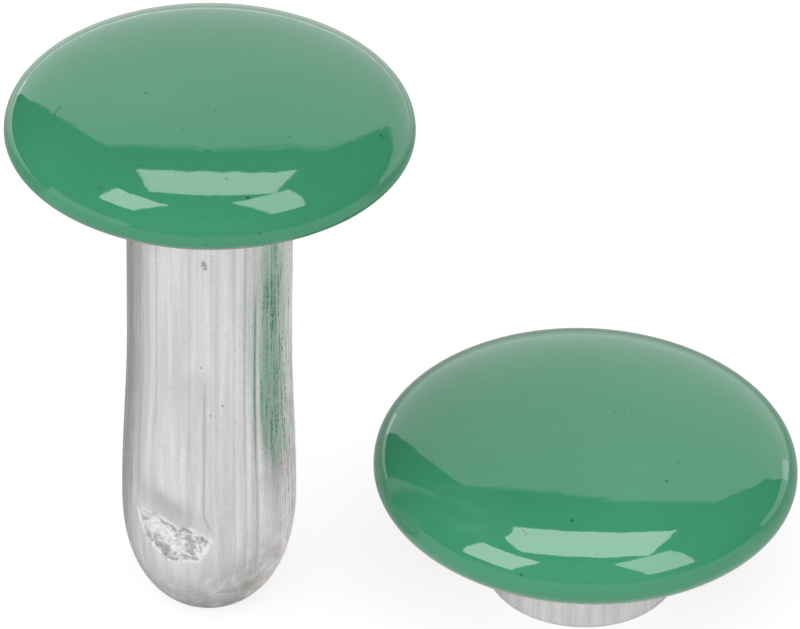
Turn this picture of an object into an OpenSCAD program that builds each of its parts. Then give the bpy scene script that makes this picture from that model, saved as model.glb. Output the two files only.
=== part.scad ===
// Double cap rivet: a stud half and a socket half that stand side by side on one floor.
// Each half is a domed sheet cap whose rim is rolled under the flange of a drawn metal shank.
// Lengths are in millimetres. The floor is z = 0 and the origin is midway under the pair.
// Local frame of each half: its axis is z, and z = 0 is the widest plane of its cap.

/* [Caps] */
// Diameter of the stud half's cap
stud_cap_d = 7; // [6:0.1:9]
// Diameter of the socket half's cap
socket_cap_d = 7.5; // [6.4:0.1:9]
// Height of the stud cap's crown above its widest plane
stud_crown_h = 0.97; // [0.8:0.01:1.8]
// Height of the socket cap's crown above its widest plane
socket_crown_h = 1.18; // [0.8:0.01:1.8]
// Exponent of the crown's outline, where 2 is an ellipse and more is flatter on top
crown_power = 2.3; // [2:0.1:3]
// Depth of the stud cap's rolled rim below its widest plane
stud_rim_drop = 0.35; // [0.32:0.01:0.8]
// Depth of the socket cap's rolled rim below its widest plane
socket_rim_drop = 0.53; // [0.32:0.01:0.8]
// Width of the rounded corner between the widest plane and the flat lip
rim_corner = 0.8; // [0.6:0.05:1]
// Width of the flat lip that is rolled under the flange
lip_w = 0.4; // [0.2:0.05:0.5]
// Thickness of the cap's sheet
cap_t = 0.24; // [0.16:0.02:0.3]

/* [Stud] */
// Length of the stud half from its cap's widest plane to its tip
stud_len = 9.8; // [7.5:0.05:13]
// Diameter of the post's straight stretch
post_d = 2.86; // [2.4:0.02:3.2]
// Thickness of the post's wall and flange
post_t = 0.3; // [0.24:0.02:0.4]
// How far the swelling near the tip stands proud of the post
bulge_rise = 0.1; // [0:0.01:0.2]
// Height of the swelling's widest plane above the tip
bulge_h = 2.2; // [1.6:0.1:3]
// Length over which the post widens into the swelling
flare_len = 3.5; // [1:0.1:4.5]
// Exponent of the rounded end's outline
tip_power = 2.3; // [2:0.1:3]
// Diameter of the flat that the tip stands on
tip_flat_d = 1.2; // [0.6:0.1:1.6]

/* [Dent] */
// Angle of the dent round the post, from the front towards the right
dent_turn = -20; // [-180:1:180]
// Height of the dent's centre above the tip
dent_up = 1.95; // [1.8:0.05:4]
// Width of the dent round the post
dent_w = 1.4; // [0.6:0.05:1.5]
// Height of the dent along the post
dent_h = 0.82; // [0.5:0.02:1.2]
// Depth of the dent at its middle
dent_depth = 0.2; // [0.08:0.01:0.24]
// Radius of the dent's rounded floor
dent_r = 2.5; // [1.5:0.1:4]

/* [Socket] */
// Length of the socket half from its cap's widest plane to its foot
socket_len = 2.35; // [1.8:0.05:3.5]
// Thickness of the collar's wall and flange
collar_t = 0.27; // [0.22:0.01:0.4]
// Play of the post in the collar, on the diameter
post_play = 0.06; // [0.04:0.01:0.2]
// Radius of the collar's rounded outer edge
foot_r = 0.18; // [0.1:0.01:0.2]
// Radius of the mouth's rounded inner edge
mouth_r = 0.05; // [0.02:0.01:0.08]

/* [Shanks] */
// Inner radius of the bend between each flange and its shank
neck_r = 0.22; // [0.1:0.02:0.3]
// Height of the chamfer under each flange's edge
flange_chamfer = 0.08; // [0.06:0.01:0.12]

/* [Layout] */
// Gap between the post's swelling and the edge of the socket half's cap
stand_gap = 1.35; // [0.5:0.05:4]
// How far the socket half stands behind the stud half
socket_back = 0.65; // [0:0.05:3]

/* [Hidden] */
round_fn = 96;
crown_steps = 24;
corner_steps = 10;
flare_steps = 8;
tip_steps = 20;
edge_steps = 6;

stud_cap_r = stud_cap_d / 2;
socket_cap_r = socket_cap_d / 2;
post_r = post_d / 2;
bulge_r = post_r + bulge_rise;
bore_r = post_r + post_play / 2;
collar_r = bore_r + collar_t;

// Each flange lies on the inner face of its cap's rolled lip
stud_seat_z = cap_t - stud_rim_drop;
socket_seat_z = cap_t - socket_rim_drop;
bulge_z = bulge_h - stud_len;

// The rounded end is a superellipse that would end below its flat if it were whole
tip_ratio = tip_flat_d / 2 / bulge_r;
tip_angle = acos(pow(tip_ratio, tip_power / 2));
tip_whole = bulge_h / pow(sin(tip_angle), 2 / tip_power);

// The pair's bounding box is centred over the origin
pitch_x = bulge_r + stand_gap + socket_cap_r;
left_x = min(-stud_cap_r, pitch_x - socket_cap_r);
right_x = max(stud_cap_r, pitch_x + socket_cap_r);
front_y = min(-stud_cap_r, socket_back - socket_cap_r);
back_y = max(stud_cap_r, socket_back + socket_cap_r);
stud_at = [-(left_x + right_x) / 2, -(front_y + back_y) / 2, stud_len];
socket_at = [stud_at.x + pitch_x, stud_at.y + socket_back, socket_len];

// A quarter of a superellipse, from the end of its first half axis to the end of its second
function quarter(across, up, power, steps, last = 90) = [
    for (i = [0:steps])
        let (t = last * i / steps)
            [across * pow(cos(t), 2 / power), up * pow(sin(t), 2 / power)]
];

function moved(points, by) = [for (p = points) p + by];

function reversed(points) = [for (i = [len(points) - 1:-1:0]) points[i]];

// An arc round a centre, between two angles
function arc(centre, r, from, to) = [
    for (i = [0:edge_steps])
        let (t = from + (to - from) * i / edge_steps)
            centre + r * [cos(t), sin(t)]
];

// Radius of a flange, half way between the flat of the lip and the cap's inner wall
function flange_r(cap_r) = cap_r - (rim_corner + cap_t) / 2;

// Half section of a cap: out along the lip, up the rim, over the crown and back inside
module cap_section(cap_r, crown_h, seat_z) {
    flat_r = cap_r - rim_corner;
    rim_z = seat_z - cap_t;
    outer_corner = moved(quarter(rim_corner, rim_z, 2, corner_steps), [flat_r, 0]);
    inner_corner = moved(quarter(rim_corner - cap_t, seat_z, 2, corner_steps), [flat_r, 0]);
    polygon(concat(
        [[flat_r - lip_w, rim_z]],
        reversed(outer_corner),
        quarter(cap_r, crown_h, crown_power, crown_steps),
        reversed(quarter(cap_r - cap_t, crown_h - cap_t, crown_power, crown_steps)),
        inner_corner,
        [[flat_r - lip_w, seat_z]]
    ));
}

// The bend between a flange at seat_z and a shank of radius r, on the side that is out by grow
function bend(r, seat_z, grow) = arc([r + neck_r, seat_z - neck_r], neck_r + grow, 90, 180);

// A flange from the bend above it, round its edge and down the bend below it
function flange_outline(cap_r, r, seat_z, thick) = concat(
    reversed(bend(r, seat_z, thick)),
    [
        [flange_r(cap_r), seat_z + thick],
        [flange_r(cap_r), seat_z + flange_chamfer],
        [cap_r - rim_corner, seat_z]
    ],
    bend(r, seat_z, 0)
);

// One side of the post from its fillet to its flat, drawn in by the wall
function post_side(wall) = concat(
    [
        for (i = [0:flare_steps])
            let (k = i / flare_steps)
                [post_r - wall + bulge_rise * (1 - cos(180 * k)) / 2, bulge_z + flare_len * (1 - k)]
    ],
    moved(quarter(bulge_r - wall, wall - tip_whole, tip_power, tip_steps, tip_angle), [0, bulge_z])
);

// Half section of the drawn post, hollow from its flange down to its closed end
module post_section() {
    outer = post_side(0);
    inner = post_side(post_t);
    floor_z = inner[len(inner) - 1].y;
    polygon(concat(
        flange_outline(stud_cap_r, post_r, stud_seat_z, post_t),
        outer,
        [[0, -stud_len], [0, floor_z]],
        reversed(inner)
    ));
}

// Half section of the solid that the post would fill without its hollow
module post_core_section() {
    outer = post_side(0);
    polygon(concat([[0, outer[0].y]], outer, [[0, -stud_len]]));
}

// Places its child on the post where the dent is, with +x out of the surface
module at_dent() {
    rotate(dent_turn - 90)
        translate([bulge_r, 0, dent_up - stud_len])
            children();
}

// The ball that pressed the dent, grown by the wall for the inner face
module dent_ball(grow) {
    at_dent()
        translate([dent_r - dent_depth, 0, 0])
            sphere(r = dent_r + grow, $fn = round_fn);
}

// The dent's outline as a prism through the wall: its upper edge slopes down from the left
// corner to the right one, and its floor runs out at two lower corners
module dent_outline() {
    at_dent()
        rotate([90, 0, 90])
            linear_extrude(height = 2 * post_d, center = true)
                polygon([
                    [-dent_w / 2, dent_h / 2],
                    [-dent_w / 4, -dent_h / 3],
                    [dent_w / 5, -dent_h / 2],
                    [dent_w / 2, 0]
                ]);
}

// Half section of the open collar with its flange
module collar_section() {
    polygon(concat(
        flange_outline(socket_cap_r, collar_r, socket_seat_z, collar_t),
        arc([collar_r - foot_r, foot_r - socket_len], foot_r, 0, -90),
        arc([bore_r + mouth_r, mouth_r - socket_len], mouth_r, -90, -180)
    ));
}

module stud_cap() {
    color("seagreen")
        translate(stud_at)
            rotate_extrude($fn = round_fn)
                cap_section(stud_cap_r, stud_crown_h, stud_seat_z);
}

module stud_post() {
    color("gainsboro")
        translate(stud_at)
            difference() {
                union() {
                    rotate_extrude($fn = round_fn)
                        post_section();
                    intersection() {
                        rotate_extrude($fn = round_fn)
                            post_core_section();
                        dent_ball(post_t);
                    }
                }
                intersection() {
                    dent_ball(0);
                    dent_outline();
                }
            }
}

module socket_cap() {
    color("seagreen")
        translate(socket_at)
            rotate_extrude($fn = round_fn)
                cap_section(socket_cap_r, socket_crown_h, socket_seat_z);
}

module socket_collar() {
    color("gainsboro")
        translate(socket_at)
            rotate_extrude($fn = round_fn)
                collar_section();
}

stud_cap();
stud_post();
socket_cap();
socket_collar();
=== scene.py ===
"""Double cap rivet: both halves of one rivet, standing side by side on a pale floor.

The caps, the post and the collar are turned from the same outlines as the frame's solids,
with a finer grid, the rolled lip's waves, the post's draw marks and the dent near its tip.
"""
import math
import random

import bpy
from mathutils import Matrix, Vector


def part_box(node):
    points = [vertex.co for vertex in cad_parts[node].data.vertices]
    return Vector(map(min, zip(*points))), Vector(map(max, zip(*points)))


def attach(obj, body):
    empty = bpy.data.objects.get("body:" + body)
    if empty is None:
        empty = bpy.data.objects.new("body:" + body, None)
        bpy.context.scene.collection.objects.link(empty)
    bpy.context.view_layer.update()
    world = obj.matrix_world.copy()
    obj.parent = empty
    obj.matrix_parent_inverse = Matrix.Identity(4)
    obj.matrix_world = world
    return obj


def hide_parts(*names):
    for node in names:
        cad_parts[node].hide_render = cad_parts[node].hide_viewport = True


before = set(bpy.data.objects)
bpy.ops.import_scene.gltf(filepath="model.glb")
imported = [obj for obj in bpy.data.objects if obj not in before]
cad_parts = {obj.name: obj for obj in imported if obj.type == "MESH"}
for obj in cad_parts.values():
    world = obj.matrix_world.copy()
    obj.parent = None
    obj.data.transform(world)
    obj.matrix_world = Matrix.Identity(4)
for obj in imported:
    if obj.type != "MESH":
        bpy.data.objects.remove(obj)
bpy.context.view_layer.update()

MM = 0.001

# Outline of both caps
STUD_CROWN_H = 0.97 * MM
STUD_RIM_DROP = 0.35 * MM
SOCKET_CROWN_H = 1.18 * MM
SOCKET_RIM_DROP = 0.53 * MM
CROWN_POWER = 2.3
RIM_CORNER = 0.8 * MM
LIP_W = 0.4 * MM
CAP_T = 0.24 * MM

# Outline of the post and of the collar
POST_R = 1.43 * MM
POST_T = 0.3 * MM
BULGE_RISE = 0.1 * MM
BULGE_H = 2.2 * MM
FLARE_LEN = 3.5 * MM
TIP_POWER = 2.3
TIP_FLAT_R = 0.6 * MM
BORE_R = 1.46 * MM
COLLAR_T = 0.27 * MM
FOOT_R = 0.18 * MM
MOUTH_R = 0.05 * MM
NECK_R = 0.22 * MM
FLANGE_CHAMFER = 0.08 * MM
STUD_SEAT_Z = CAP_T - STUD_RIM_DROP
SOCKET_SEAT_Z = CAP_T - SOCKET_RIM_DROP
BULGE_R = POST_R + BULGE_RISE

# Paint ends this far below the widest plane
STUD_PAINT_EDGE = 0.11 * MM
SOCKET_PAINT_EDGE = 0.25 * MM

# Faces round each turned piece
CAP_SEGMENTS = 288
POST_SEGMENTS = 352
COLLAR_SEGMENTS = 288

# The rolled lip: depth of its waves, and burrs as degrees from the front, radians wide, mm down
LIP_WAVE = 0.06 * MM
STUD_BURRS = [(-62, 0.1, 0.2), (47, 0.11, 0.2)]

# Dust in the paint: degrees round from the front to the right, mm from the axis, mm across
STUD_DUST = [(-77.5, 2.57, 0.035), (-76.7, 2.6, 0.04), (-76, 2.63, 0.04), (-75.2, 2.66, 0.035),
             (-74.4, 2.69, 0.03), (-70, 1.14, 0.05), (-110, 2.77, 0.03), (8, 0.92, 0.035),
             (-16, 1.5, 0.03), (43, 2.01, 0.035), (72, 3.06, 0.045), (14, 3.01, 0.05),
             (8, 2.61, 0.04), (1, 1.97, 0.03)]
SOCKET_DUST = [(38, 2.21, 0.05), (52, 2.0, 0.035), (-6, 2.78, 0.05), (-21, 3.12, 0.04),
               (-20, 3.17, 0.04), (-18, 3.7, 0.04), (92, 0.48, 0.03), (91, 0.77, 0.03)]

# Pits in the post: degrees round from the front to the right, mm above the tip, mm across
POST_PITS = [(-1.5, 7.95, 0.07), (-2.3, 7.99, 0.06), (-1.1, 7.88, 0.06), (-3.2, 7.93, 0.04),
             (11, 5.0, 0.045), (20, 4.6, 0.04), (3, 4.8, 0.04), (-33, 4.35, 0.04), (50, 4.05, 0.04),
             (-4, 5.8, 0.035), (27, 6.1, 0.035)]

# The one pit in the collar: its depth below the widest plane and its size
COLLAR_PIT_DROP = 1.4 * MM
COLLAR_PIT_SIZE = 0.04 * MM

# Colours of the enamel, the metal and the floor
ENAMEL_DEEP = (0.042, 0.272, 0.140)
ENAMEL_LIGHT = (0.048, 0.288, 0.150)
ENAMEL_FINE = (0.060, 0.315, 0.172)
ENAMEL_GRIT = (0.02, 0.09, 0.05)
ENAMEL_DUST = (0.012, 0.05, 0.03)
BARE_SHEET = (0.40, 0.38, 0.34)
METAL_DARK = (0.66, 0.66, 0.655)
METAL_PALE = (0.81, 0.81, 0.81)
METAL_HAIR = (0.52, 0.52, 0.52)
METAL_WARM = (0.62, 0.595, 0.575)
METAL_GRAIN = (0.50, 0.49, 0.48)
METAL_PIT = (0.10, 0.10, 0.10)
# Painted shade near the tip, in the hollow above the tear and in the deep draw marks
METAL_TIP_SHADE = (0.40, 0.38, 0.365)
METAL_HOLLOW_SHADE = (0.49, 0.49, 0.485)
METAL_MARK_SHADE = (0.38, 0.38, 0.38)
METAL_EDGE_TINT = (0.62, 0.62, 0.62, 1)
TORN_DULL = (0.78, 0.78, 0.77)
TORN_BRIGHT = (0.99, 0.99, 0.99)
# Painted shade on the facets of the torn floor
TORN_FACET_SHADE = (0.36, 0.36, 0.355)
FLOOR_WHITE = (0.93, 0.93, 0.93, 1)

# Camera: the photograph's direction, distance and scale
VIEW_ELEVATION = math.radians(35.26)
VIEW_ROLL = math.radians(1.26)
VIEW_DISTANCE = 120 * MM
PIXELS_PER_MM = 57.54
IMAGE_W = 800
SENSOR_W = 36.0
AIM = Vector((-0.24, -0.05, 5.5)) * MM
AIM_RIGHT_PX = 5.8
AIM_UP_PX = 10.3


def cap_place(node, crown_h):
    """Axis and widest plane of a cap, and its radius, from the frame's solid."""
    low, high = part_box(node)
    centre = Vector(((low[0] + high[0]) / 2, (low[1] + high[1]) / 2, high[2] - crown_h))
    return centre, (high[0] - low[0]) / 2


STUD_AT, STUD_R = cap_place("stud_cap", STUD_CROWN_H)
SOCKET_AT, SOCKET_R = cap_place("socket_cap", SOCKET_CROWN_H)


def quarter(across, up, power, steps, last=math.pi / 2):
    """A quarter of a superellipse as (radius, height) points."""
    points = []
    for i in range(steps + 1):
        t = last * i / steps
        c = max(math.cos(t), 0.0)
        points.append((across * c ** (2 / power), up * math.sin(t) ** (2 / power)))
    return points


def moved(points, dr, dz):
    return [(r + dr, z + dz) for r, z in points]


def arc(r0, z0, radius, start, end, steps=8):
    """An arc as (radius, height) points, with its angles in degrees."""
    angles = [math.radians(start + (end - start) * i / steps) for i in range(steps + 1)]
    return [(r0 + radius * math.cos(a), z0 + radius * math.sin(a)) for a in angles]


def without_repeats(points, least=1e-7):
    kept = [points[0]]
    for p in points[1:]:
        if math.dist(p, kept[-1]) > least:
            kept.append(p)
    return kept


def lathe(name, outline, at, segments, shape, closed=False):
    """Turns an outline about a vertical axis; shape may move each point of the grid.

    shape takes the row, the angle from the front towards the right, the radius and the
    height, and gives a new radius and height. A closed outline joins its end to its start.
    """
    outline = without_repeats(outline)
    verts, rows = [], []
    for k, (r, z) in enumerate(outline):
        if r < 1e-8:
            rows.append([len(verts)] * segments)
            verts.append(at + Vector((0, 0, z)))
            continue
        rows.append(list(range(len(verts), len(verts) + segments)))
        for i in range(segments):
            turn = 2 * math.pi * i / segments
            rr, zz = shape(k, turn, r, z)
            verts.append(at + Vector((rr * math.sin(turn), -rr * math.cos(turn), zz)))
    if closed:
        rows.append(rows[0])
    faces = []
    for a, b in zip(rows, rows[1:]):
        for i in range(segments):
            j = (i + 1) % segments
            corners = [a[i], b[i], b[j], a[j]]
            face = []
            for c in corners:
                if c not in face:
                    face.append(c)
            if len(face) > 2:
                faces.append(face)
    mesh = bpy.data.meshes.new(name)
    mesh.from_pydata(verts, [], faces)
    mesh.validate()
    mesh.update()
    piece = bpy.data.objects.new(name, mesh)
    bpy.context.scene.collection.objects.link(piece)
    mesh.polygons.foreach_set("use_smooth", [True] * len(mesh.polygons))
    return piece


def smooth(k):
    """An eased step from 0 to 1."""
    k = max(0.0, min(1.0, k))
    return k * k * (3 - 2 * k)


def bump_at(turn, centre, width):
    """A smooth hump of height 1 round an angle."""
    d = (turn - centre + math.pi) % (2 * math.pi) - math.pi
    return math.exp(-(d / width) ** 2)


def cap_outline(radius, crown_h, rim_drop):
    """Outline of a cap from its pole, over the rim, round the lip and back under the crown."""
    flat_r = radius - RIM_CORNER
    crown = quarter(radius, crown_h, CROWN_POWER, 56)[::-1]
    corner = moved(quarter(RIM_CORNER, -rim_drop, 2, 24), flat_r, 0)
    lip_r = flat_r - LIP_W
    lip = [(flat_r - LIP_W * k / 4, -rim_drop) for k in range(1, 4)]
    edge = arc(lip_r + CAP_T / 2, CAP_T / 2 - rim_drop, CAP_T / 2, 270, 90, 10)
    inner_corner = moved(quarter(RIM_CORNER - CAP_T, CAP_T - rim_drop, 2, 8), flat_r, 0)[::-1]
    inner_crown = quarter(radius - CAP_T, crown_h - CAP_T, CROWN_POWER, 14)
    return crown + corner + lip + edge + inner_corner + inner_crown


def lip_waves(radius, rim_drop, burrs, seed):
    """Moves the rolled lip: a wavy inner edge, and burrs that hang a little lower."""
    rng = random.Random(seed)
    waves = [(n, rng.uniform(0, 2 * math.pi), rng.uniform(0.3, 1.0)) for n in (3, 5, 8, 13, 21)]

    def shape(row, turn, r, z):
        if z > -0.1 * rim_drop or r < radius - RIM_CORNER - LIP_W - CAP_T:
            return r, z
        under = smooth(-z / rim_drop)
        inward = smooth((radius - r) / RIM_CORNER * 1.4)
        wave = sum(w * math.sin(n * turn + p) / n for n, p, w in waves)
        drop = sum(h * bump_at(turn, math.radians(c), w) for c, w, h in burrs)
        return r + LIP_WAVE * wave * under * inward, z - drop * MM * under * inward

    return shape


def make_cap(name, node, at, outline, shape):
    piece = lathe(name, outline, at, CAP_SEGMENTS, shape)
    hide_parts(node)
    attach(piece, "root")
    return piece


def bend(r, seat_z, grow, steps=8):
    """The bend between a flange at seat_z and a shank of radius r, from above to the shank."""
    return arc(r + NECK_R, seat_z - NECK_R, NECK_R + grow, 90, 180, steps)


def flange_edge(cap_radius, seat_z, thick):
    """A flange's edge with the chamfer under it."""
    edge_r = cap_radius - (RIM_CORNER + CAP_T) / 2
    return [(edge_r, seat_z + thick), (edge_r, seat_z + FLANGE_CHAMFER),
            (cap_radius - RIM_CORNER, seat_z)]


def post_side(wall, length, steps, tip_steps):
    """One side of the post from its fillet to its flat, drawn in by the wall."""
    bulge_z = BULGE_H - length
    side = []
    for i in range(steps + 1):
        k = i / steps
        swell = BULGE_RISE * (1 - math.cos(math.pi * k)) / 2
        side.append((POST_R - wall + swell, bulge_z + FLARE_LEN * (1 - k)))
    last = math.acos((TIP_FLAT_R / BULGE_R) ** (TIP_POWER / 2))
    whole = BULGE_H / math.sin(last) ** (2 / TIP_POWER)
    tip = moved(quarter(BULGE_R - wall, wall - whole, TIP_POWER, tip_steps, last), 0, bulge_z)
    return side, tip


def resampled(points, spacing):
    """Points along the same line, a spacing apart that depends on the height."""
    out = [points[0]]
    for (r0, z0), (r1, z1) in zip(points, points[1:]):
        length = math.dist((r0, z0), (r1, z1))
        n = max(1, math.ceil(length / spacing((z0 + z1) / 2)))
        out += [(r0 + (r1 - r0) * k / n, z0 + (z1 - z0) * k / n) for k in range(1, n + 1)]
    return out


# The dent: its place on the post, its depths in mm and the corners of its torn outline, in
# mm from its centre, round the post to the right and up
DENT_TURN = math.radians(-20)
DENT_UP = 1.95
DENT_DEPTH = 0.1
DENT_EDGE = 0.06
HOLLOW_DEPTH = 0.11
DENT_CORNERS = [(-0.88, 0.47), (-0.43, 0.5), (0.0, 0.38), (0.2, 0.42), (0.46, 0.3),
                (0.65, 0.2), (0.42, -0.25), (0.2, -0.28), (0.0, -0.37), (-0.27, -0.32),
                (-0.56, -0.12), (-0.79, 0.18)]


def inside_depth(u, v, corners):
    """Signed distance from a closed outline, positive inside."""
    inside, near = False, 1e9
    for (x0, y0), (x1, y1) in zip(corners, corners[1:] + corners[:1]):
        if (y0 > v) != (y1 > v) and u < (x1 - x0) * (v - y0) / (y1 - y0) + x0:
            inside = not inside
        along = (u - x0) * (x1 - x0) + (v - y0) * (y1 - y0)
        k = max(0, min(1, along / ((x1 - x0) ** 2 + (y1 - y0) ** 2)))
        near = min(near, math.hypot(u - x0 - k * (x1 - x0), v - y0 - k * (y1 - y0)))
    return near if inside else -near


def make_facets(count, seed):
    """Tilted flats in the torn floor of the dent: a centre, a slope both ways and a depth."""
    rng = random.Random(seed)
    return [(rng.uniform(-0.85, 0.65), rng.uniform(-0.38, 0.5), rng.uniform(-0.45, 0.45),
             rng.uniform(-0.2, 0.5), rng.uniform(-0.02, 0.02)) for _ in range(count)]


def make_marks(count, seed):
    """Draw marks: an angle, a width, a depth and the heights that each runs between, in mm."""
    rng = random.Random(seed)
    marks = []
    for _ in range(count):
        top = rng.choice([9.6, 9.6, rng.uniform(4, 9)])
        bottom = rng.choice([rng.uniform(0.6, 2.4), rng.uniform(1.5, 6)])
        marks.append((rng.uniform(-math.pi, math.pi), rng.uniform(0.012, 0.035),
                      rng.choice([-1, 1]) * rng.uniform(0.001, 0.003), bottom, max(top, bottom + 1)))
    return marks


# The deepest draw marks in front: degrees from the front to the right, depth and heights in mm
DEEP_MARKS = [(-1.5, 0.016, 2.1, 5.8), (3, 0.006, 2.4, 9.6), (13, -0.006, 3.0, 9.6),
              (19, 0.008, 1.2, 9.6), (24, -0.008, 0.9, 9.6), (27, 0.012, 1.0, 9.6),
              (31, -0.010, 1.1, 9.6), (36, 0.012, 1.0, 7.5), (40, -0.012, 2.2, 8.5),
              (-12, 0.006, 3.4, 9.6), (-22, -0.006, 4.2, 9.6), (-38, 0.008, 4.0, 9.6)]
DEEP_MARK_WIDTH = 0.016
# Depth in mm of a draw mark that gets the full painted shade
DARKEST_MARK = 0.012
FACETS = make_facets(count=46, seed=5)
MARKS = make_marks(count=130, seed=11) + [(math.radians(turn), DEEP_MARK_WIDTH, depth, low, high)
                                          for turn, depth, low, high in DEEP_MARKS]
MARK_STEPS = 1440
LEAST_SHARE = 0.02


def mark_table():
    """For each quarter of a degree round the post, the draw marks that reach it."""
    table = []
    for i in range(MARK_STEPS):
        turn = 2 * math.pi * i / MARK_STEPS
        near = []
        for centre, width, depth, low, high in MARKS:
            h = bump_at(turn, centre, width)
            if h > LEAST_SHARE:
                near.append((h * depth, low, high))
        table.append(near)
    return table


MARK_TABLE = mark_table()


def dent_side(turn):
    """Distance in mm from the dent's middle, round the post to the right."""
    return ((turn - DENT_TURN + math.pi) % (2 * math.pi) - math.pi) * BULGE_R / MM


def mark_depth(turn, up):
    """Depth of the draw marks in mm; they bend to the right where the dent pushed the sheet."""
    side = dent_side(turn)
    bent = 0.13 * smooth((2.7 - up) / 0.6) * math.exp(-((side - 0.62) / 0.3) ** 2)
    near = MARK_TABLE[round((turn - bent) * MARK_STEPS / (2 * math.pi)) % MARK_STEPS]
    return sum(h * smooth((up - low) / 0.5) * smooth((high - up) / 0.8) for h, low, high in near)


def dent_offset(turn, up):
    """How far the surface is pushed in round the dent, in mm, how torn it is, with a thin band just
    outside the tear that the metal paints bright as a highlight along its rim, and how hollow it is,
    which the metal darkens as painted shade.
    """
    side = dent_side(turn)
    rise = up - DENT_UP
    if abs(side) > 1.6 or not -0.9 < rise < 1.7:
        return 0.0, 0.0, 0.0
    # A shallow hollow above the tear, where the sheet was pushed down
    slant = (rise - 0.62 + 0.25 * side) / 0.33
    hollow = HOLLOW_DEPTH * math.exp(-((side + 0.15) / 0.6) ** 2 - slant ** 2)
    d = inside_depth(side, rise, DENT_CORNERS)
    if d <= 0:
        lip = 0.022 * math.exp(-((d + 0.02) / 0.03) ** 2) if rise < 0.32 - 0.3 * side else 0.0
        # Just outside the tear a thin band counts as torn, which the metal paints bright as a highlight
        # along the rim
        return hollow - lip, 0.8 * math.exp(-(d / 0.035) ** 2), hollow / HOLLOW_DEPTH
    torn = smooth(d / DENT_EDGE)
    near = min(FACETS, key=lambda f: (f[0] - side) ** 2 + 1.4 * (f[1] - rise) ** 2)
    tilt = (side - near[0]) * near[2] + (rise - near[1]) * near[3] + near[4]
    push = DENT_DEPTH * smooth(d / 0.25) ** 0.7 + 0.5 * tilt
    return hollow + torn * push, 0.8 + 0.2 * torn, 0.0


def make_post():
    """The drawn post, with a fine grid outside and a coarse one in its hollow."""
    length = STUD_AT.z
    side, tip = post_side(0, length, 12, 48)
    outer = bend(POST_R, STUD_SEAT_Z, 0) + side + tip

    def spacing(z):
        """Rows lie closer together across the dent."""
        up = (z + length) / MM
        return (0.02 if 1.35 < up < 2.6 else 0.06) * MM

    outer = resampled(without_repeats(outer), spacing)
    outer += [(TIP_FLAT_R * k, -length) for k in (0.66, 0.33, 0)]
    in_side, in_tip = post_side(POST_T, length, 3, 8)
    inner = [(0, in_tip[-1][1])] + in_tip[::-1] + in_side[::-1]
    inner += bend(POST_R, STUD_SEAT_Z, POST_T, 5)[::-1]
    flange = flange_edge(STUD_R, STUD_SEAT_Z, POST_T)
    outline = inner + flange + outer
    first = len(without_repeats(inner + flange))

    def shape(row, turn, r, z):
        if row < first or r < TIP_FLAT_R * 1.001:
            return r, z
        up = (z + length) / MM
        push, torn, _ = dent_offset(turn, up)
        marks = mark_depth(turn, up) * smooth(up / 0.8) * (1 - torn)
        # Slow unevenness of the drawn wall
        sway = 0.004 * math.sin(2 * turn + 0.4 * up) + 0.003 * math.sin(3 * turn - 0.7 * up + 1)
        fade = smooth((9.4 - up) / 0.6) * smooth(up / 0.8)
        return min(r, r - (push + marks + sway * fade) * MM), z

    at = Vector((STUD_AT.x, STUD_AT.y, length))
    piece = lathe("stud_post_body", outline, at, POST_SEGMENTS, shape)
    store_wear_and_shade(piece)
    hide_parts("stud_post")
    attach(piece, "root")
    return piece


def store_wear_and_shade(piece):
    """Stores wear and painted light as a colour attribute: red is torn metal, with a painted highlight
    along the tear's rim, green is the hollow, darkened as painted shade, blue is a deep mark, darkened
    as painted shade.
    """
    mesh = piece.data
    layer = mesh.color_attributes.new("wear_and_shade", "FLOAT_COLOR", "POINT")
    for i, v in enumerate(mesh.vertices):
        x, y, up = v.co.x - STUD_AT.x, v.co.y - STUD_AT.y, v.co.z / MM
        torn = hollow = mark_shade = 0.0
        if math.hypot(x, y) > POST_R - POST_T / 2 or up < 1.2:
            turn = math.atan2(x, -y)
            _, torn, hollow = dent_offset(turn, up)
            mark_shade = max(0.0, mark_depth(turn, up)) / DARKEST_MARK
        layer.data[i].color = (torn, hollow, min(mark_shade, 1.0), 1)


def make_collar():
    """The open collar, whose foot is rounded outside and at its mouth."""
    length = SOCKET_AT.z
    collar_r = BORE_R + COLLAR_T
    outline = bend(collar_r, SOCKET_SEAT_Z, COLLAR_T)[::-1]
    outline += flange_edge(SOCKET_R, SOCKET_SEAT_Z, COLLAR_T)
    outline += bend(collar_r, SOCKET_SEAT_Z, 0)
    outline += arc(collar_r - FOOT_R, FOOT_R - length, FOOT_R, 0, -90)
    outline += arc(BORE_R + MOUTH_R, MOUTH_R - length, MOUTH_R, -90, -180)
    outline = resampled(without_repeats(outline + outline[:1]), lambda z: 0.08 * MM)[:-1]
    at = Vector((SOCKET_AT.x, SOCKET_AT.y, length))
    rng = random.Random(3)
    marks = [(rng.uniform(-math.pi, math.pi), rng.uniform(0.01, 0.03), rng.uniform(0.0, 0.004))
             for _ in range(60)]

    def shape(row, turn, r, z):
        if r > collar_r + 0.01 * MM or r < BORE_R + 0.02 * MM or z > SOCKET_SEAT_Z - NECK_R:
            return r, z
        return r - sum(d * bump_at(turn, c, w) for c, w, d in marks) * MM, z

    piece = lathe("socket_collar_body", outline, at, COLLAR_SEGMENTS, shape, closed=True)
    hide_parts("socket_collar")
    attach(piece, "root")
    return piece


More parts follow.
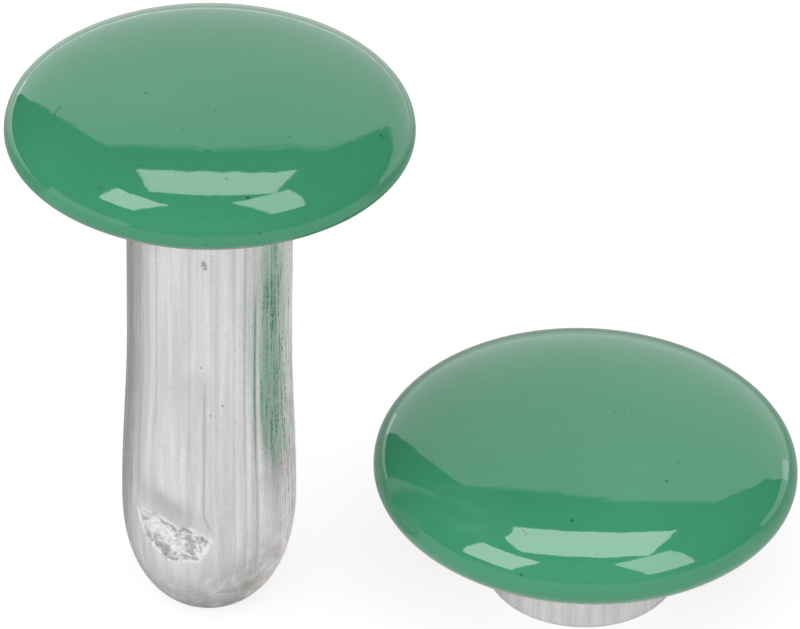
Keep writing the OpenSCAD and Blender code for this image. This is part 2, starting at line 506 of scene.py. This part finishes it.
class Nodes:
    """A small helper that adds nodes and links to a node tree."""

    def __init__(self, tree):
        self.tree = tree
        tree.nodes.clear()

    def add(self, kind, **values):
        node = self.tree.nodes.new(kind)
        for key, value in values.items():
            setattr(node, key, value)
        return node

    def link(self, a, b):
        self.tree.links.new(a, b)

    def math(self, operation, a, b):
        node = self.add("ShaderNodeMath", operation=operation)
        for socket, value in zip(node.inputs, (a, b)):
            if isinstance(value, (int, float)):
                socket.default_value = value
            else:
                self.link(value, socket)
        return node.outputs[0]

    def ramp(self, value, low, high, to_low=0.0, to_high=1.0):
        node = self.add("ShaderNodeMapRange", interpolation_type="SMOOTHSTEP")
        self.link(value, node.inputs["Value"])
        for key, v in (("From Min", low), ("From Max", high), ("To Min", to_low),
                       ("To Max", to_high)):
            node.inputs[key].default_value = v
        return node.outputs["Result"]

    def noise(self, vector, scale, detail=2.0, roughness=0.5):
        node = self.add("ShaderNodeTexNoise")
        self.link(vector, node.inputs["Vector"])
        node.inputs["Scale"].default_value = scale
        node.inputs["Detail"].default_value = detail
        node.inputs["Roughness"].default_value = roughness
        return node.outputs["Fac"]

    def mix(self, factor, a, b):
        node = self.add("ShaderNodeMix", data_type="RGBA")
        for socket, value in ((node.inputs[0], factor), (node.inputs[6], a), (node.inputs[7], b)):
            if isinstance(value, (int, float)):
                socket.default_value = value
            elif isinstance(value, tuple):
                socket.default_value = (*value, 1.0)
            else:
                self.link(value, socket)
        return node.outputs[2]

    def bump(self, height, strength, distance, normal=None):
        node = self.add("ShaderNodeBump")
        node.inputs["Strength"].default_value = strength
        node.inputs["Distance"].default_value = distance
        self.link(height, node.inputs["Height"])
        if normal is not None:
            self.link(normal, node.inputs["Normal"])
        return node.outputs["Normal"]


def new_material(name):
    material = bpy.data.materials.new(name)
    material.use_nodes = True
    return material, Nodes(material.node_tree)


def finish_material(n, shader):
    out = n.add("ShaderNodeOutputMaterial")
    n.link(shader.outputs[0], out.inputs["Surface"])


def scaled_place(n, sx, sy, sz):
    """Object coordinates in millimetres, stretched along each axis."""
    place = n.add("ShaderNodeTexCoord").outputs["Object"]
    node = n.add("ShaderNodeMapping")
    node.inputs["Scale"].default_value = (sx / MM, sy / MM, sz / MM)
    n.link(place, node.inputs["Vector"])
    return node.outputs[0]


def speck_mask(n, specks):
    """One where a speck or a pit lies; each has a place and a radius in metres."""
    place = n.add("ShaderNodeTexCoord").outputs["Object"]
    total = None
    for at, size in specks:
        far = n.add("ShaderNodeVectorMath", operation="DISTANCE")
        n.link(place, far.inputs[0])
        far.inputs[1].default_value = at
        spot = n.ramp(far.outputs["Value"], size * 0.1, size, 1.0, 0.0)
        total = spot if total is None else n.math("MAXIMUM", total, spot)
    return total


def crown_point(at, radius, crown_h, degrees, out):
    """A point on a crown, from degrees round from the front to the right and mm from its axis."""
    turn, r = math.radians(degrees), out * MM
    up = crown_h * (1 - (r / radius) ** CROWN_POWER) ** (1 / CROWN_POWER)
    return at + Vector((r * math.sin(turn), -r * math.cos(turn), up))


def paint_material(name, rim_z, paint_edge, specks):
    """Glossy green enamel over sheet metal, which shows bare under the rolled rim."""
    material, n = new_material(name)
    mm_place = scaled_place(n, 1, 1, 1)
    shader = n.add("ShaderNodeBsdfPrincipled")
    # Cloudy and fine variation of the enamel
    cloud = n.noise(mm_place, 0.45, 3)
    fine = n.noise(mm_place, 14.0, 3)
    colour = n.mix(n.ramp(cloud, 0.3, 0.7), ENAMEL_DEEP, ENAMEL_LIGHT)
    colour = n.mix(n.ramp(fine, 0.35, 0.75, 0.0, 0.25), colour, ENAMEL_FINE)
    grit = n.noise(mm_place, 9.0, 1)
    colour = n.mix(n.ramp(grit, 0.765, 0.79, 0.0, 0.5), colour, ENAMEL_GRIT)
    colour = n.mix(n.math("MULTIPLY", speck_mask(n, specks), 0.8), colour, ENAMEL_DUST)
    # Bare metal from a ragged line under the rim
    split = n.add("ShaderNodeSeparateXYZ")
    n.link(mm_place, split.inputs[0])
    ragged = n.math("MULTIPLY", n.math("SUBTRACT", n.noise(mm_place, 2.2, 3, 0.65), 0.5), 0.16)
    depth = n.math("SUBTRACT", rim_z / MM, n.math("ADD", split.outputs["Z"], ragged))
    bare = n.ramp(depth, paint_edge / MM - 0.02, paint_edge / MM + 0.02)
    colour = n.mix(bare, colour, BARE_SHEET)
    n.link(colour, shader.inputs["Base Color"])
    n.link(bare, shader.inputs["Metallic"])
    n.link(n.ramp(bare, 0, 1, 0.045, 0.45), shader.inputs["Roughness"])
    peel = n.bump(n.noise(mm_place, 1.3, 2), 0.12, 0.05 * MM)
    peel = n.bump(n.noise(mm_place, 7.0, 2), 0.06, 0.006 * MM, peel)
    peel = n.bump(n.noise(mm_place, 30.0, 2), 0.03, 0.004 * MM, peel)
    n.link(peel, shader.inputs["Normal"])
    shader.inputs["IOR"].default_value = 1.5
    finish_material(n, shader)
    return material


def metal_material(name, specks, is_post):
    """Satin drawn metal: lengthwise draw marks, a soft haze and small pits; on the post also painted
    shade near the tip, in the hollow and in the deep marks, and torn metal.
    """
    material, n = new_material(name)
    mm_place = scaled_place(n, 1, 1, 1)
    along = scaled_place(n, 1, 1, 0.03)
    streak = n.noise(along, 7.0, 3, 0.55)
    hair = n.noise(along, 30.0, 3, 0.6)
    cloud = n.noise(mm_place, 0.8, 3)
    grain = n.noise(mm_place, 22.0, 3, 0.6)
    shader = n.add("ShaderNodeBsdfPrincipled")
    colour = n.mix(n.ramp(streak, 0.3, 0.7), METAL_DARK, METAL_PALE)
    colour = n.mix(n.ramp(hair, 0.55, 0.75, 0.0, 0.3), colour, METAL_HAIR)
    colour = n.mix(n.ramp(cloud, 0.45, 0.75, 0.0, 0.5), colour, METAL_WARM)
    colour = n.mix(n.ramp(grain, 0.5, 0.8, 0.0, 0.4), colour, METAL_GRAIN)
    colour = n.mix(n.math("MULTIPLY", speck_mask(n, specks), 0.6), colour, METAL_PIT)
    # The haze is patchy along the draw marks, so that reflections break up into lines
    rough = n.math("ADD", n.ramp(hair, 0.38, 0.60, 0.42, 0.22), n.ramp(grain, 0.4, 0.7, 0.0, 0.10))
    if is_post:
        wear_and_shade = n.add("ShaderNodeSeparateColor")
        n.link(n.add("ShaderNodeVertexColor", layer_name="wear_and_shade").outputs["Color"], wear_and_shade.inputs[0])
        torn, hollow, mark_shade = wear_and_shade.outputs
        # Painted shade near the tip, reaching higher on the right and broken into mottled patches;
        # painted shade in the hollow and in the deep marks
        split = n.add("ShaderNodeSeparateXYZ")
        n.link(mm_place, split.inputs[0])
        right = n.math("SUBTRACT", split.outputs["X"], STUD_AT.x / MM)
        height = n.math("SUBTRACT", split.outputs["Z"], n.math("MULTIPLY", right, 0.6))
        low = n.ramp(height, 0.1, 2.1, 1.0, 0.0)
        patches = n.ramp(n.noise(mm_place, 3.0, 4, 0.65), 0.32, 0.62, 0.35, 1.0)
        colour = n.mix(n.math("MULTIPLY", low, patches), colour, METAL_TIP_SHADE)
        colour = n.mix(n.math("MULTIPLY", hollow, 0.75), colour, METAL_HOLLOW_SHADE)
        colour = n.mix(n.math("MULTIPLY", mark_shade, 0.55), colour, METAL_MARK_SHADE)
        # Bright torn metal in flakes, with dark patches of painted shade for its facets and a painted
        # highlight along the tear's rim
        flakes = n.ramp(n.noise(mm_place, 12.0, 3, 0.7), 0.35, 0.65)
        bright = n.mix(flakes, TORN_DULL, TORN_BRIGHT)
        facet_shade = n.ramp(n.noise(mm_place, 3.6, 5, 0.75), 0.50, 0.62, 0.0, 0.75)
        colour = n.mix(torn, colour, n.mix(facet_shade, bright, TORN_FACET_SHADE))
        rough = n.math("MAXIMUM", rough, n.math("MULTIPLY", torn, 0.5))
    n.link(colour, shader.inputs["Base Color"])
    n.link(rough, shader.inputs["Roughness"])
    shader.inputs["Metallic"].default_value = 1.0
    shader.inputs["Specular Tint"].default_value = METAL_EDGE_TINT
    normal = n.bump(streak, 0.35, 0.012 * MM)
    normal = n.bump(hair, 0.4, 0.004 * MM, normal)
    normal = n.bump(grain, 0.5, 0.004 * MM, normal)
    n.link(normal, shader.inputs["Normal"])
    finish_material(n, shader)
    return material


def give(piece, material):
    piece.data.materials.clear()
    piece.data.materials.append(material)


def make_floor():
    """A plain white floor that keeps the shadow near the object and is plain white far off."""
    bpy.ops.mesh.primitive_plane_add(size=4, location=(0, 0, 0))
    floor = bpy.context.object
    floor.name = "floor"
    material, n = new_material("floor_white")
    diffuse = n.add("ShaderNodeBsdfDiffuse")
    diffuse.inputs["Color"].default_value = FLOOR_WHITE
    glow = n.add("ShaderNodeEmission")
    place = n.add("ShaderNodeTexCoord").outputs["Object"]
    far = n.add("ShaderNodeVectorMath", operation="LENGTH")
    n.link(place, far.inputs[0])
    away = n.ramp(far.outputs["Value"], 0.012, 0.03, FLOOR_GLOW, 1.0)
    path = n.add("ShaderNodeLightPath")
    # The floor's glow that the metal shows is dimmed just behind the pair as a painted shadow, and pale
    # again far off
    split = n.add("ShaderNodeSeparateXYZ")
    n.link(place, split.inputs[0])
    dim = n.ramp(split.outputs["Y"], -0.002, 0.003, FLOOR_METAL, FLOOR_BEHIND_SHADE)
    dim = n.math("ADD", dim, n.ramp(split.outputs["Y"], 0.012, 0.04, 0.0, FLOOR_FAR - FLOOR_BEHIND_SHADE))
    seen = n.add("ShaderNodeMix", data_type="FLOAT")
    n.link(path.outputs["Is Glossy Ray"], seen.inputs[0])
    seen.inputs[2].default_value = FLOOR_BOUNCE
    n.link(dim, seen.inputs[3])
    shown = n.add("ShaderNodeMix", data_type="FLOAT")
    n.link(path.outputs["Is Camera Ray"], shown.inputs[0])
    n.link(seen.outputs[0], shown.inputs[2])
    shown.inputs[3].default_value = FLOOR_LIGHT
    n.link(shown.outputs[0], glow.inputs["Strength"])
    mix = n.add("ShaderNodeMixShader")
    n.link(away, mix.inputs[0])
    n.link(diffuse.outputs[0], mix.inputs[1])
    n.link(glow.outputs[0], mix.inputs[2])
    # A camera below the floor looks through it
    back = n.add("ShaderNodeNewGeometry").outputs["Backfacing"]
    below = n.math("MULTIPLY", back, path.outputs["Is Camera Ray"])
    clear = n.add("ShaderNodeMixShader")
    n.link(below, clear.inputs[0])
    n.link(mix.outputs[0], clear.inputs[1])
    n.link(n.add("ShaderNodeBsdfTransparent").outputs[0], clear.inputs[2])
    finish_material(n, clear)
    give(floor, material)


# Studio: panels stand this far off, and their edges are given as slopes from the object
STUDIO_R = 300 * MM
ROOM_LIGHT = 0.10
ROOM_FRONT = 0.35
FILL_LIGHT = 0.30
FILL_TOP = 1.25
FILL_FRONT = 1.15
FILL_LEFT = 0.30
WALL_LIGHT = 1.25
SIDE_LIGHT = 1.2
BOX_LIGHT = 4.8
BOX_SIDE_LIGHT = 6.0
POST_RIGHT_LIGHT = 0.72
TOP_FILL = 0.16
WALL_SOFT = 0.035
WALL_LAYERS = [("low", -WALL_SOFT, 1.0), ("high", WALL_SOFT, 1.04)]
FLOOR_GLOW = 0.6
FLOOR_LIGHT = 1.25
FLOOR_BOUNCE = 0.7
FLOOR_METAL = 0.95
# Glow of the painted shadow just behind the pair, as the metal's reflections show it
FLOOR_BEHIND_SHADE = 0.35
FLOOR_FAR = 1.0


def wall_side(left, left_top, right, right_top, count):
    """Strips that stand in for a sloping upper edge, as (left, right, top)."""
    step, rise = (right - left) / count, (right_top - left_top) / count
    return [(left + k * step, left + (k + 1) * step, left_top + (k + 0.5) * rise) for k in range(count)]


# Strips of the pale wall behind, as each cap mirrors it: left, right and top, all slopes
STUD_WALL = (wall_side(-0.605, 0.44, -0.44, 1.28, 7) + [(-0.44, 0.48, 1.28)]
             + wall_side(0.48, 1.28, 0.70, 0.74, 5) + [(0.70, 5.0, 0.68)])
SOCKET_WALL = [(-0.67, -0.05, 1.59), (-0.05, 0.15, 1.70), (0.15, 1.10, 1.85), (1.10, 1.16, 1.27),
               (1.16, 1.25, 0.75)]


def make_world():
    """White to the camera, a dim room in reflections, and soft fill from the top and front."""
    world = bpy.data.worlds.new("studio")
    bpy.context.scene.world = world
    world.use_nodes = True
    n = Nodes(world.node_tree)
    split = n.add("ShaderNodeSeparateXYZ")
    n.link(n.add("ShaderNodeTexCoord").outputs["Generated"], split.inputs[0])
    x, y, z = split.outputs
    level = n.math("ADD", n.math("MULTIPLY", z, FILL_TOP), FILL_LIGHT)
    aside = n.math("ADD", n.math("MULTIPLY", y, -FILL_FRONT), n.math("MULTIPLY", x, -FILL_LEFT))
    fill = n.math("MAXIMUM", n.math("ADD", level, aside), 0.0)
    path = n.add("ShaderNodeLightPath")
    strength = n.add("ShaderNodeMix", data_type="FLOAT")
    n.link(path.outputs["Is Glossy Ray"], strength.inputs[0])
    n.link(fill, strength.inputs[2])
    n.link(n.ramp(y, -0.8, -0.3, ROOM_FRONT, ROOM_LIGHT), strength.inputs[3])
    seen = n.add("ShaderNodeMix", data_type="FLOAT")
    n.link(path.outputs["Is Camera Ray"], seen.inputs[0])
    n.link(strength.outputs[0], seen.inputs[2])
    seen.inputs[3].default_value = 1.0
    background = n.add("ShaderNodeBackground")
    n.link(seen.outputs[0], background.inputs["Strength"])
    out = n.add("ShaderNodeOutputWorld")
    n.link(background.outputs[0], out.inputs["Surface"])


def panel(name, at, facing, width, height, turn, radiance, pieces, blockers=None):
    """A bright rectangle that only the given pieces' reflections show; sizes are slopes.

    Only the blockers stand in its light, where they are given.
    """
    lamp = bpy.data.lights.new(name, "AREA")
    lamp.shape = "RECTANGLE"
    lamp.size = width * STUDIO_R
    lamp.size_y = height * STUDIO_R
    lamp.energy = radiance * math.pi * lamp.size * lamp.size_y
    holder = bpy.data.objects.new(name, lamp)
    place = Matrix.Translation(Vector(at) * STUDIO_R)
    aim = Vector(facing).to_track_quat("-Z", "Y").to_matrix().to_4x4()
    spin = Matrix.Rotation(math.radians(turn), 4, "Z")
    holder.matrix_world = place @ aim @ spin
    holder.visible_diffuse = False
    bpy.context.scene.collection.objects.link(holder)
    receivers = bpy.data.collections.new(name)
    for piece in pieces:
        receivers.objects.link(piece)
    holder.light_linking.receiver_collection = receivers
    if blockers:
        lamp.cycles.use_multiple_importance_sampling = False
        shades = bpy.data.collections.new(name + "_blockers")
        for piece in blockers:
            shades.objects.link(piece)
        holder.light_linking.blocker_collection = shades
    return holder


def back_wall(name, strips, pieces):
    """Upright strips behind, each between two sideways slopes and up to a top slope.

    Each strip is two layers of different heights, one behind the other, for a softer edge.
    """
    for k, (left, right, top) in enumerate(strips):
        for layer, rise, back in WALL_LAYERS:
            at = (back * (left + right) / 2, back, back * (top + rise) / 2)
            size = (back * (right - left), back * (top + rise))
            panel(f"{name}_{k}_{layer}", at, (0, -1, 0), *size, 0, WALL_LIGHT / 2, pieces)


def softbox(name, side, back, width, depth, turn, radiance, pieces):
    """A level panel overhead; its place and sizes are slopes from straight up."""
    panel(name, (side, back, 1), (0, 0, -1), width, depth, turn, radiance, pieces)


def window(name, azimuth, elevation, width, height, radiance, pieces, blockers=None):
    """A panel that faces the object from an azimuth, from the front to the right."""
    a, e = math.radians(azimuth), math.radians(elevation)
    at = Vector((math.sin(a) * math.cos(e), -math.cos(a) * math.cos(e), math.sin(e)))
    panel(name, at, -at, width, height, 0, radiance, pieces, blockers)


def top_fill(name, radiance, pieces):
    """Soft light from above the other panels that shows in no reflection."""
    holder = panel(name, (0, 0, 1.5), (0, 0, -1), 3, 3, 0, radiance, pieces)
    holder.visible_diffuse = True
    holder.visible_glossy = False


def light_stud(cap, post):
    pieces = [cap, post]
    back_wall("stud_wall", STUD_WALL, pieces)
    window("stud_left", -130, 1, 0.9, 0.10, SIDE_LIGHT, pieces)
    window("stud_front_left", -65, 9, 0.9, 0.34, SIDE_LIGHT, pieces)
    softbox("stud_box_top", 0, 0.35, 0.50, 0.32, 0, BOX_LIGHT, pieces)
    softbox("stud_box_left", -0.49, -0.08, 0.46, 0.34, 42, BOX_SIDE_LIGHT, pieces)
    softbox("stud_box_right", 0.38, -0.08, 0.58, 0.30, -50, BOX_LIGHT, pieces)
    # Pale floor that the post shows at its right, past the socket half
    window("post_right", 140, -35, 0.8, 0.9, POST_RIGHT_LIGHT, [post], [cap])


def light_socket(pieces):
    top_fill("socket_fill", TOP_FILL, pieces)
    back_wall("socket_wall", SOCKET_WALL, pieces)
    window("socket_right", 118, 5, 0.7, 0.20, SIDE_LIGHT, pieces)
    window("socket_left", -130, 1, 0.9, 0.10, SIDE_LIGHT, pieces)
    softbox("socket_box_top", 0.02, -0.08, 0.84, 0.50, 0, BOX_SIDE_LIGHT, pieces)
    window("socket_box_left", -50, 35, 0.50, 0.71, BOX_SIDE_LIGHT, pieces)
    window("socket_box_right", 45, 40, 0.45, 0.73, BOX_LIGHT, pieces)


def make_camera():
    """The camera that sees the pair as the photograph does."""
    forward = Vector((0, math.cos(VIEW_ELEVATION), -math.sin(VIEW_ELEVATION)))
    up = Vector((0, math.sin(VIEW_ELEVATION), math.cos(VIEW_ELEVATION)))
    right = Vector((1, 0, 0))
    rolled_right = right * math.cos(VIEW_ROLL) + up * math.sin(VIEW_ROLL)
    rolled_up = up * math.cos(VIEW_ROLL) - right * math.sin(VIEW_ROLL)
    aim = AIM + (rolled_right * AIM_RIGHT_PX + rolled_up * AIM_UP_PX) / PIXELS_PER_MM * MM
    data = bpy.data.cameras.new("camera")
    data.sensor_width = SENSOR_W
    data.lens = SENSOR_W * PIXELS_PER_MM * VIEW_DISTANCE / MM / IMAGE_W
    data.clip_start = 0.01
    camera = bpy.data.objects.new("camera", data)
    turn = Matrix((rolled_right, rolled_up, -forward)).transposed()
    camera.matrix_world = Matrix.Translation(aim - forward * VIEW_DISTANCE) @ turn.to_4x4()
    bpy.context.scene.collection.objects.link(camera)
    bpy.context.scene.camera = camera


make_camera()
make_world()
make_floor()

stud_outline = cap_outline(STUD_R, STUD_CROWN_H, STUD_RIM_DROP)
stud_cap = make_cap("stud_cap_shell", "stud_cap", STUD_AT, stud_outline,
                    lip_waves(STUD_R, STUD_RIM_DROP, STUD_BURRS, seed=1))
socket_outline = cap_outline(SOCKET_R, SOCKET_CROWN_H, SOCKET_RIM_DROP)
socket_cap = make_cap("socket_cap_shell", "socket_cap", SOCKET_AT, socket_outline,
                      lip_waves(SOCKET_R, SOCKET_RIM_DROP, [], seed=2))
post = make_post()
collar = make_collar()

stud_dust = [(crown_point(STUD_AT, STUD_R, STUD_CROWN_H, turn, out), size * MM)
             for turn, out, size in STUD_DUST]
socket_dust = [(crown_point(SOCKET_AT, SOCKET_R, SOCKET_CROWN_H, turn, out), size * MM)
               for turn, out, size in SOCKET_DUST]
give(stud_cap, paint_material("stud_cap_enamel", STUD_AT.z, STUD_PAINT_EDGE, stud_dust))
give(socket_cap, paint_material("socket_cap_enamel", SOCKET_AT.z, SOCKET_PAINT_EDGE, socket_dust))
post_pits = [(Vector((STUD_AT.x + POST_R * math.sin(math.radians(turn)),
                      STUD_AT.y - POST_R * math.cos(math.radians(turn)), up * MM)), size * MM)
             for turn, up, size in POST_PITS]
collar_pits = [(SOCKET_AT + Vector((0, -BORE_R - COLLAR_T, -COLLAR_PIT_DROP)), COLLAR_PIT_SIZE)]
give(post, metal_material("post_metal", post_pits, True))
give(collar, metal_material("collar_metal", collar_pits, False))

light_stud(stud_cap, post)
light_socket([socket_cap, collar])

bpy.context.scene.view_settings.view_transform = "Standard"
